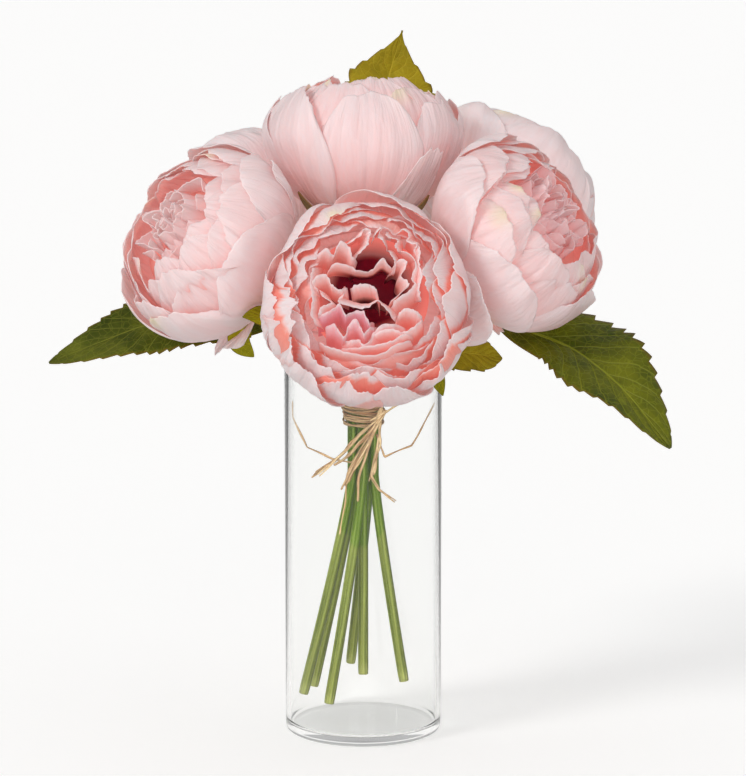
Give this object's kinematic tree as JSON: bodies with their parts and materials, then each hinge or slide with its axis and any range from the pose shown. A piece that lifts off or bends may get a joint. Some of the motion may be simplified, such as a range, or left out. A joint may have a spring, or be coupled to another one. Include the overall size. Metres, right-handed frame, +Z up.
{
  "type": "peonies in a vase",
  "caption": "Bunch of full double pink peonies with a few toothed leaves, tied with raffia and standing dry in a plain clear glass cylinder vase.",
  "frame": {"origin": "middle of the vase's foot, on the surface it stands on", "axes": "+Z up, along the vase's axis; the front of the bunch faces -Y; +X to the right seen from the front"},
  "size_m": [0.3201, 0.2294, 0.3693],
  "materials": {
    "glass": "clear, polished",
    "petal": "satin cloth, pale pink with coral inside the cup",
    "leaf": "coated cloth, olive green, soft sheen",
    "bract": "coated cloth, yellow green with brown margins",
    "stem": "moulded, soft sheen",
    "raffia": "dry natural fibre, matt"
  },
  "bodies": {
    "root": {"vase": "glass", "raffia_tie": "raffia", "stem_front": "stem", "bloom_front": "petal", "stem_left": "stem", "bloom_left": "petal", "stem_right": "stem", "bloom_right": "petal", "stem_top": "stem", "bloom_top": "petal", "stem_back_left": "stem", "bloom_back_left": "petal", "stem_back_right": "stem", "bloom_back_right": "petal", "leaf_left": "leaf", "leaf_right": "leaf", "leaf_top": "leaf", "leaf_low": "leaf", "leaf_back_left": "leaf", "leaf_back_right": "leaf", "bract_upper": "bract", "bract_lower": "bract", "bract_front": "bract"}
  },
  "joints": []
}
